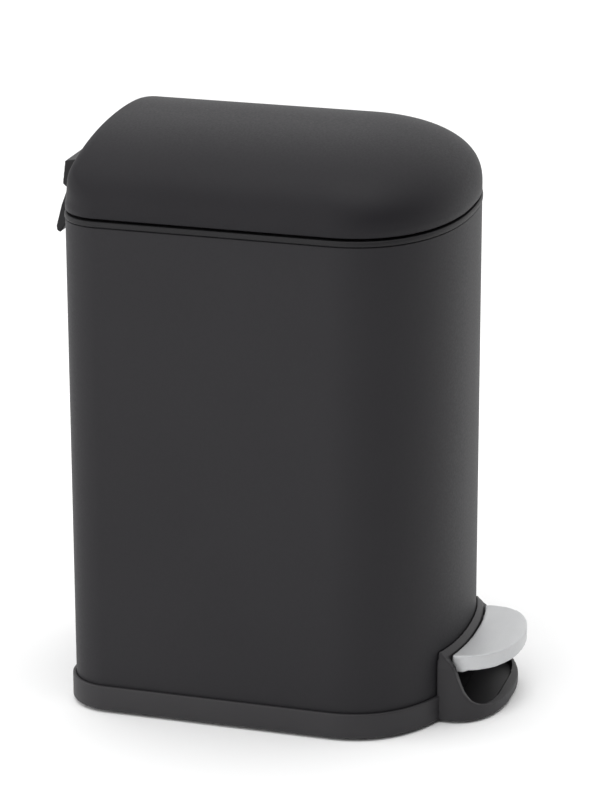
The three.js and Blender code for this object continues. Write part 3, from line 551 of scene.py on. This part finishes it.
def cavity_plan():
    return {
        "half": HOUSING_HALF - HOUSING_RIM,
        "front": HOUSING_FRONT + HOUSING_RIM - 0.1 * MM,
        "back": BODY_FRONT + 18 * MM,
        "cap": 16 * MM,
        "power": 3.2,
        "radius": 2 * MM,
    }


def slab(name, plan, z0, z1, grow=0.0):
    points = outline(plan, grow)
    return skin(name, [(points, z0), (points, z1)])


def make_base_ring():
    inner = -SHELL_WALL - GAP
    section = [
        (BASE_PROUD - 0.5 * MM, BASE_BOTTOM),
        (BASE_PROUD, BASE_BOTTOM + 0.8 * MM),
        (BASE_PROUD, RING_TOP),
        (GAP, RING_TOP),
        (GAP, FLANGE_TOP),
        (inner, FLANGE_TOP),
        (inner, RING_TOP),
        (inner - 2 * MM, RING_TOP),
        (inner - 2 * MM, FLANGE_TOP),
        (-FLANGE_REACH, FLANGE_TOP),
        (-FLANGE_REACH, FLANGE_BOTTOM),
        (COVER_EDGE, FLANGE_BOTTOM),
        (COVER_EDGE, BASE_BOTTOM),
    ]
    radii = [0.4, 0.6, 1.4, 0.2, 0, 0, 0.5, 0.5, 0, 0.6, 0.6, 0, 0.2]
    ring = swept("base_ring", BODY_PLAN, rounded(section, [r * MM for r in radii], 4))
    combine(ring, slab("cavity", cavity_plan(), HOUSING_FLOOR, SHELL_TOP), "DIFFERENCE")
    finish_piece(ring, "body", "black_plastic", ["base"])


def make_base_frame():
    """Posts under the inner floor and the beam and ears that carry the pedal axle."""
    post_top = low("inner_floor").z - GAP
    for i in range(4):
        screw = f"cover_screw_{i + 1}"
        foot = (low(screw) + high(screw)) / 2
        start = (foot.x, foot.y, FLANGE_BOTTOM + 0.1 * MM)
        post = cylinder(f"base_post_{i + 1}", POST_RADIUS, start, (foot.x, foot.y, post_top))
        finish_piece(post, "body", "black_plastic")
    reach = BODY_HALF - FLANGE_REACH + 2 * MM
    y0, y1 = AXLE.y - BEAM_HALF_DEPTH, AXLE.y + BEAM_HALF_DEPTH
    beam = box("axle_beam", -reach, reach, y0, y1, FLANGE_BOTTOM, FLANGE_BOTTOM + BEAM_HEIGHT)
    for side in (-1, 1):
        x0, x1 = sorted((side * 12 * MM, side * 17 * MM))
        ear = box("ear", x0, x1, y0, y1, FLANGE_BOTTOM, AXLE.z + 5.5 * MM)
        combine(beam, ear, "UNION")
    hole = cylinder("hole", 2.8 * MM, (-40 * MM, AXLE.y, AXLE.z), (40 * MM, AXLE.y, AXLE.z))
    combine(beam, hole, "DIFFERENCE")
    finish_piece(beam, "body", "black_plastic")


def make_housing():
    """The scoop round the pedal: cheeks that sweep down from the collar into a low front lip."""
    side = [
        (12, 1.5),
        (-24.5, 1.5),
        (-24.5, 6.3),
        (-19.5, 7.5),
        (-15.2, 9),
        (-11.1, 11.9),
        (-7.8, 16.5),
        (-5.2, 23),
        (-2.9, 30),
        (-0.6, 33),
        (3, 36),
        (4.4, 38.2),
        (12, 38.2),
    ]
    radii = [r * MM for r in (0, 0, 0, 4, 4, 5, 8, 9, 8, 5, 3, 1, 0)]
    profile = rounded([(BODY_FRONT + y * MM, z * MM) for y, z in side], radii, 5)
    housing = drawn_out("pedal_housing", profile, -HOUSING_HALF, HOUSING_HALF)
    far = BODY_FRONT + 30 * MM
    plan = {
        "half": HOUSING_HALF,
        "front": HOUSING_FRONT,
        "back": far,
        "cap": 27 * MM,
        "power": 2.4,
        "radius": 2 * MM,
    }
    combine(housing, slab("plan", plan, 0, HOUSING_SPAN), "INTERSECT")
    combine(housing, drawn_back("collar", collar_face(0), HOUSING_FRONT - MM, far), "INTERSECT")
    combine(housing, slab("cavity", cavity_plan(), HOUSING_FLOOR, HOUSING_SPAN), "DIFFERENCE")
    lintel = swept(
        "lintel",
        BODY_PLAN,
        [
            (LINTEL_PROUD, LINTEL_BOTTOM),
            (LINTEL_PROUD, LINTEL_TOP - 2.6 * MM),
            (GAP + 0.8 * MM, LINTEL_TOP),
            (GAP - 2 * MM, LINTEL_TOP),
            (GAP - 2 * MM, LINTEL_BOTTOM),
        ],
    )
    front = drawn_back("front", collar_face(0), BODY_FRONT - 10 * MM, BODY_FRONT + 20 * MM)
    combine(lintel, front, "INTERSECT")
    combine(housing, lintel, "UNION")
    combine(housing, slab("shell_room", BODY_PLAN, FLANGE_TOP, HOUSING_SPAN, GAP), "DIFFERENCE")
    combine(housing, slab("cover_room", BODY_PLAN, 0, FLANGE_TOP, COVER_EDGE), "DIFFERENCE")
    soften(housing, 0.5 * MM, 5)
    finish_piece(housing, "body", "black_plastic", degrees=180)


# ------------------------------------------------------------------ pedal


def make_pedal():
    """A hollow foot plate: its top rises slightly to the front and its tongue runs under the lintel."""
    half = PEDAL_HALF
    plan = {
        "half": half,
        "front": PEDAL_FRONT,
        "back": BODY_FRONT + 6 * MM,
        "cap": 25 * MM,
        "power": 2.19,
        "radius": 1 * MM,
    }
    slope = math.tan(math.radians(3.2))
    skirt = 8.3
    wall = 2
    tongue = 26.4

    def height(y):
        return 35.4 - slope * y

    side = [
        (-31, height(-31) - skirt),
        (-9, height(-9) - skirt),
        (-6, tongue),
        (6.5, tongue),
        (6.5, height(6.5)),
        (-31, height(-31)),
    ]
    hollow = [(-30, 0), (-9.5, 0), (-9.5, height(-9.5) - wall), (-30, height(-30) - wall)]

    def placed(points):
        return [(BODY_FRONT + y * MM, z * MM) for y, z in points]

    pad = slab("pedal_plate", plan, 0, HOUSING_SPAN)
    combine(pad, drawn_out("side", placed(side), -half - MM, half + MM), "INTERSECT")
    collar_room = slab("collar_room", BODY_PLAN, 29.4 * MM, HOUSING_SPAN, LINTEL_PROUD + 0.9 * MM)
    combine(pad, collar_room, "DIFFERENCE")
    inside = slab("inside", plan, 0, HOUSING_SPAN, -wall * MM)
    combine(inside, drawn_out("hollow", placed(hollow), -half, half), "INTERSECT")
    combine(pad, inside, "DIFFERENCE")
    soften(pad, 0.45 * MM, 16)
    finish_piece(pad, "pedal", "silver_plastic", ["pedal_pad"], degrees=180)


# ------------------------------------------------------------------ lid

DOME_POWER = 2.456
DOME_ROOT = 2.23
DOME_CAP = 65.5 * MM
DOME_CAP_POWER = 2.22
LID_SIDE_TOP = LID_BOTTOM + 3.8 * MM
LID_RISE = LID_TOP - LID_SIDE_TOP
LID_WALL = 1.2 * MM
LID_LEAN = 10.1 * MM
LID_EDGE_RADIUS = 4.5 * MM
LID_EDGE_SHARE = 0.6


def lid_back_at(z):
    """The lid's back stands straight at the dome's foot and leans forward as a flat face above it."""
    return BODY_BACK - LID_LEAN * max(z - LID_SIDE_TOP, 0) / LID_RISE


def lid_corner_at(z, half):
    """The back corners follow the shell at the dome's foot and tighten to the edge radius further up."""
    t = min(max(z - LID_SIDE_TOP, 0) / LID_RISE / LID_EDGE_SHARE, 1)
    ease = t * t * (3 - 2 * t)
    return min(CORNER_RADIUS + (LID_EDGE_RADIUS - CORNER_RADIUS) * ease, half / 2)


def lid_ring(rho, z, inward):
    """Plan ring of the dome at height z, where it has come in to the share rho of its half width."""
    edge = rho**6
    cap = DOME_CAP + (CAP_DEPTH - DOME_CAP) * edge
    half = BODY_HALF * rho
    plan = {
        "half": half,
        "front": BODY_FRONT + cap * (1 - rho),
        "back": lid_back_at(z),
        "cap": cap * rho,
        "power": DOME_CAP_POWER + (CAP_POWER - DOME_CAP_POWER) * edge,
        "radius": lid_corner_at(z, half),
    }
    return outline(plan, -min(inward, half / 2))


def make_lid():
    turns = [math.pi / 2 * (1 - i / 64) for i in range(64)]
    shares = [math.sin(turn) for turn in turns] + [0.006]
    hem = 0.4 * MM

    def height(rho):
        return LID_SIDE_TOP + LID_RISE * (1 - rho**DOME_POWER) ** (1 / DOME_ROOT)

    outside = [(lid_ring(rho, height(rho), 0), height(rho)) for rho in shares]
    inside = [
        (lid_ring(rho, height(rho), LID_WALL), height(rho) - LID_WALL * (1 - rho**8))
        for rho in reversed(shares)
    ]
    lid = skin(
        "lid_dome",
        inside
        + [(lid_ring(1, 0, LID_WALL), LID_BOTTOM + hem), (lid_ring(1, 0, LID_WALL - hem), LID_BOTTOM)]
        + [(lid_ring(1, 0, hem), LID_BOTTOM), (lid_ring(1, 0, 0), LID_BOTTOM + hem)]
        + outside,
        ladder=True,
    )
    opening = BLOCK_HALF + 1.2 * MM
    near, far = BODY_BACK - 6 * MM, BODY_BACK + MM
    room = box("room", -opening, opening, near, far, LID_BOTTOM - MM, BLOCK_BOTTOM + GAP)
    combine(lid, room, "DIFFERENCE")
    finish_piece(lid, "lid", "lid_paint", ["lid_shell"], degrees=50)


def make_hinge_block():
    profile = [
        (lid_back_at(BLOCK_BOTTOM) + GAP, BLOCK_BOTTOM),
        (BODY_BACK + 5.3 * MM, BLOCK_BOTTOM),
        (BODY_BACK + 7.4 * MM, BLOCK_BOTTOM + 1.7 * MM),
        (BODY_BACK + 5.9 * MM, BLOCK_TOP - 2.1 * MM),
        (lid_back_at(BLOCK_TOP) + GAP, BLOCK_TOP),
    ]
    block = drawn_out("hinge_block", profile, -BLOCK_HALF, BLOCK_HALF)
    for side in (-1, 1):
        x0, x1 = sorted((side * 10 * MM, side * 18 * MM))
        web = box("web", x0, x1, HINGE_Y - 2.9 * MM, HINGE_Y + 2.9 * MM, HINGE_Z, BLOCK_BOTTOM + MM)
        combine(block, web, "UNION")
        knuckle = cylinder("knuckle", 3.2 * MM, (x0, HINGE_Y, HINGE_Z), (x1, HINGE_Y, HINGE_Z))
        combine(block, knuckle, "UNION")
    bore = cylinder("bore", HINGE_BORE, (-BLOCK_HALF, HINGE_Y, HINGE_Z), (BLOCK_HALF, HINGE_Y, HINGE_Z))
    combine(block, bore, "DIFFERENCE")
    soften(block, 0.4 * MM, 4)
    finish_piece(block, "lid", "grey_plastic", ["lid_hinge_block"], degrees=180)


def make_rear_handle():
    behind = [
        (1.5, 266.4),
        (0.7, 265.6),
        (0.7, 258.3),
        (0.3, 258),
        (0.3, 248.8),
        (5.9, 248.8),
        (9.3, 243.8),
        (11, 244.6),
        (11.4, 246.8),
        (8.4, 258),
        (5.7, 265.2),
        (4.6, 266.4),
    ]
    profile = [(BODY_BACK + y * MM, z * MM) for y, z in behind]
    handle = drawn_out("rear_grip", profile, -BLOCK_HALF, BLOCK_HALF)
    sweep = 5.9 * MM
    for side in (-1, 1):
        x0, x1 = sorted((side * 9.5 * MM, side * 18.5 * MM))
        room = cylinder("room", sweep, (x0, HINGE_Y, HINGE_Z), (x1, HINGE_Y, HINGE_Z))
        combine(handle, room, "DIFFERENCE")
        above = box("above", x0, x1, BODY_BACK - 5 * MM, HINGE_Y + sweep, HINGE_Z, 280 * MM)
        combine(handle, above, "DIFFERENCE")
    bore = cylinder("bore", HINGE_BORE, (-24 * MM, HINGE_Y, HINGE_Z), (BLOCK_HALF + MM, HINGE_Y, HINGE_Z))
    combine(handle, bore, "DIFFERENCE")
    soften(handle, 0.4 * MM, 4)
    finish_piece(handle, "body", "grey_plastic", ["rear_handle"], degrees=180)


# ------------------------------------------------------------------ bucket


def make_bucket():
    bottom, top = low("inner_bucket").z, 248 * MM
    wall = 1.6 * MM
    taper = 3 * MM
    plan = {
        **BODY_PLAN,
        "half": BODY_HALF - 9 * MM,
        "front": BODY_FRONT + 9 * MM,
        "back": BODY_BACK - 24 * MM,
        "radius": 16 * MM,
    }
    lip = top - 2 * MM
    section = rounded(
        [
            (-taper - 4 * MM, bottom),
            (-taper, bottom + 0.2 * MM),
            (0, lip),
            (2.4 * MM, lip),
            (2.4 * MM, top),
            (-wall, top),
            (-taper - wall, bottom + wall),
            (-taper - 5 * MM, bottom + wall),
        ],
        [r * MM for r in (0, 3, 0.2, 0.7, 0.7, 0.6, 3, 0)],
        5,
        closed=False,
    )
    bucket = skin("waste_bucket", [(outline(plan, grow), z) for grow, z in section])
    root = plan["half"] - wall / 2
    ear_top = BAIL_Z + 4 * MM
    ear_inner = EAR_OUTER - 4 * MM
    face = [
        (ear_inner, top - 6 * MM),
        (root, top - 6 * MM),
        (root, top),
        (EAR_OUTER, top),
        (EAR_OUTER, ear_top),
        (ear_inner, ear_top),
    ]
    for side in (1, -1):
        mirrored = [(side * x, z) for x, z in face[::side]]
        ear = drawn_back("ear", mirrored, BAIL_Y - 6 * MM, BAIL_Y + 6 * MM)
        combine(bucket, ear, "UNION")
    hole = cylinder("hole", BAIL_BORE, (-BODY_HALF, BAIL_Y, BAIL_Z), (BODY_HALF, BAIL_Y, BAIL_Z))
    combine(bucket, hole, "DIFFERENCE")
    finish_piece(bucket, "bucket", "bucket_plastic", ["inner_bucket"])


def tube(name, path, radius_at, sides=16):
    """A round closed-end tube along a list of level points; radius_at takes a point's number."""
    up = Vector((0, 0, 1))
    rings = []
    for i, point in enumerate(path):
        before = Vector(path[max(i - 1, 0)])
        after = Vector(path[min(i + 1, len(path) - 1)])
        side = (after - before).normalized().cross(up).normalized()
        ring = []
        for k in range(sides):
            angle = 2 * math.pi * k / sides
            around = math.cos(angle) * side + math.sin(angle) * up
            ring.append(tuple(Vector(point) + radius_at(i) * around))
        rings.append(ring)
    return skin(name, rings)


def make_bail():
    half = EAR_OUTER - 7.7 * MM
    plan = {
        "half": half,
        "front": BODY_FRONT + 22 * MM,
        "back": BODY_BACK,
        "cap": 40 * MM,
        "power": CAP_POWER,
        "radius": MM,
    }
    arc = outline(plan)[: CAP_STEPS + 1]
    bend = 3 * MM
    hook = [(EAR_OUTER + 1.4 * MM, BAIL_Y)]
    for i in range(7):
        turn = math.radians(15 * i)
        hook.append((half + bend * (1 - math.sin(turn)), BAIL_Y - bend * (1 - math.cos(turn))))
    level = [(-x, y) for x, y in hook] + arc + hook[::-1]
    path = [(x, y, BAIL_Z) for x, y in level]
    bail = tube("bail_wire", path, lambda i: 1.5 * MM)
    finish_piece(bail, "bail", "steel", ["bucket_bail"])
    grip_half = 0.98 * high("bail_grip").x
    middle = [(x, y, BAIL_Z) for x, y in arc if abs(x) < grip_half]
    turns = 2 * math.pi * 5 / (len(middle) - 1)
    grip = tube("bail_handle", middle, lambda i: 3.5 * MM + 0.3 * MM * math.cos(turns * i), sides=24)
    finish_piece(grip, "bail", "black_plastic", ["bail_grip"])


# ------------------------------------------------------------------ small and hidden pieces

# Width in millimetres of the eased edge of each piece, by the body that it rides on.
SMALL_PIECES = {
    "lid": {
        "lid_liner": 0.35,
        "lid_lever": 0.3,
        **{f"lid_screw_{i}": 0.2 for i in (1, 2)},
        **{f"lever_screw_{i}": 0.2 for i in (1, 2)},
        **{f"lid_bumper_{i}": 0.4 for i in (1, 2)},
    },
    "pedal": {"pedal_lever": 0.3, "pedal_screw_1": 0.2, "pedal_screw_2": 0.2},
    "rod": {"push_rod": 0.25},
    "body": {
        "bottom_cover": 0.5,
        **{f"foot_{i}": 0.5 for i in (1, 2, 3, 4)},
        **{f"cover_screw_{i}": 0.2 for i in (1, 2, 3, 4)},
        "inner_floor": 0.3,
        **{f"rod_guide_{i}": 0.3 for i in (1, 2)},
        "pedal_axle": 0.3,
        **{f"axle_clip_{i}": 0.15 for i in (1, 2)},
        "hinge_pin": 0.3,
        **{f"handle_screw_{i}": 0.2 for i in (1, 2)},
    },
}


def ease_edges(name, body, width):
    """A copy of a CAD solid with its flat faces made whole and its sharp edges rounded over."""
    node = frame["nodes"][name]
    piece = bpy.data.objects.new(name + "_eased", node.data.copy())
    bpy.context.scene.collection.objects.link(piece)
    piece.matrix_world = node.matrix_world
    flat = piece.modifiers.new("flat", "DECIMATE")
    flat.decimate_type = "DISSOLVE"
    flat.angle_limit = math.radians(0.5)
    bevel = piece.modifiers.new("bevel", "BEVEL")
    bevel.width = width * MM
    bevel.segments = 2
    bevel.limit_method = "ANGLE"
    bevel.angle_limit = math.radians(35)
    apply(piece)
    finish_piece(piece, body, slot_of[name], [name], degrees=50)


# ------------------------------------------------------------------ build

slot_of = {row["node"]: row["material_slot"] for row in frame["record"]["subparts"]}

make_shell()
make_rim()
make_base_ring()
make_base_frame()
make_housing()
make_pedal()
make_lid()
make_hinge_block()
make_rear_handle()
make_bucket()
make_bail()

for body, pieces in SMALL_PIECES.items():
    for name, width in pieces.items():
        ease_edges(name, body, width)

# ------------------------------------------------------------------ floor, light, camera


def make_floor():
    bpy.ops.mesh.primitive_plane_add(size=12, location=(0, 0, 0))
    floor = bpy.context.object
    floor.name = "floor"
    n = Nodes("floor")
    drift = n.noise(3, 2)
    tone = n.mixed(n.ranged(drift, 0, 1), (0.965, 0.965, 0.965), (0.98, 0.98, 0.98))
    n.link(tone, n.shader.inputs["Base Color"])
    n.shader.inputs["Roughness"].default_value = 0.9
    floor.data.materials.append(n.material)


def area_light(name, location, target, size, watts):
    data = bpy.data.lights.new(name, "AREA")
    data.shape = "RECTANGLE"
    data.size, data.size_y = size
    data.energy = watts
    light = bpy.data.objects.new(name, data)
    light.location = location
    light.rotation_euler = (Vector(target) - Vector(location)).to_track_quat("-Z", "Y").to_euler()
    bpy.context.scene.collection.objects.link(light)


def make_light():
    """A white studio, darker to the front left, with soft panels above, to the left and behind."""
    world = bpy.data.worlds.new("studio")
    bpy.context.scene.world = world
    world.use_nodes = True
    tree = world.node_tree
    background = tree.nodes["Background"]
    background.inputs["Strength"].default_value = 1.15
    direction = tree.nodes.new("ShaderNodeTexCoord")
    toward = tree.nodes.new("ShaderNodeVectorMath")
    toward.operation = "DOT_PRODUCT"
    toward.inputs[1].default_value = Vector((-0.6, -0.8, 0))
    tree.links.new(direction.outputs["Generated"], toward.inputs[0])
    lobe = tree.nodes.new("ShaderNodeMapRange")
    lobe.interpolation_type = "SMOOTHSTEP"
    lobe.inputs["From Min"].default_value = 0.3
    lobe.inputs["From Max"].default_value = 0.92
    tree.links.new(toward.outputs["Value"], lobe.inputs["Value"])
    shade = tree.nodes.new("ShaderNodeMix")
    shade.data_type = "RGBA"
    shade.inputs[6].default_value = (1, 1, 1, 1)
    shade.inputs[7].default_value = (0, 0, 0, 1)
    tree.links.new(lobe.outputs["Result"], shade.inputs[0])
    tree.links.new(shade.outputs[2], background.inputs["Color"])
    middle = (0, 0, 0.15)
    area_light("overhead", (-0.3, -0.2, 2.2), middle, (1.6, 1.6), 17)
    area_light("left panel", (-2.0, 0.9, 0.5), middle, (1.2, 1.0), 5)
    area_light("rear left panel", (-0.6, 1.8, 0.9), (0, 0, 0.28), (0.8, 0.8), 5)


def make_camera():
    heading = math.radians(16.72)
    pitch = math.radians(18.87)
    roll = math.radians(-0.163)
    data = bpy.data.cameras.new("camera")
    data.lens = 155.4
    data.sensor_width = 36
    data.clip_end = 50
    camera = bpy.data.objects.new("camera", data)
    camera.location = (-1.6054, BODY_FRONT - 0.3899, 0.7247)
    level = Vector((math.cos(heading), math.sin(heading), 0))
    forward = math.cos(pitch) * level - math.sin(pitch) * Vector((0, 0, 1))
    turn = forward.to_track_quat("-Z", "Y").to_matrix().to_4x4()
    camera.rotation_euler = (turn @ Matrix.Rotation(roll, 4, "Z")).to_euler()
    bpy.context.scene.collection.objects.link(camera)
    bpy.context.scene.camera = camera


make_floor()
make_light()
make_camera()
bpy.context.scene.view_settings.view_transform = "Standard"
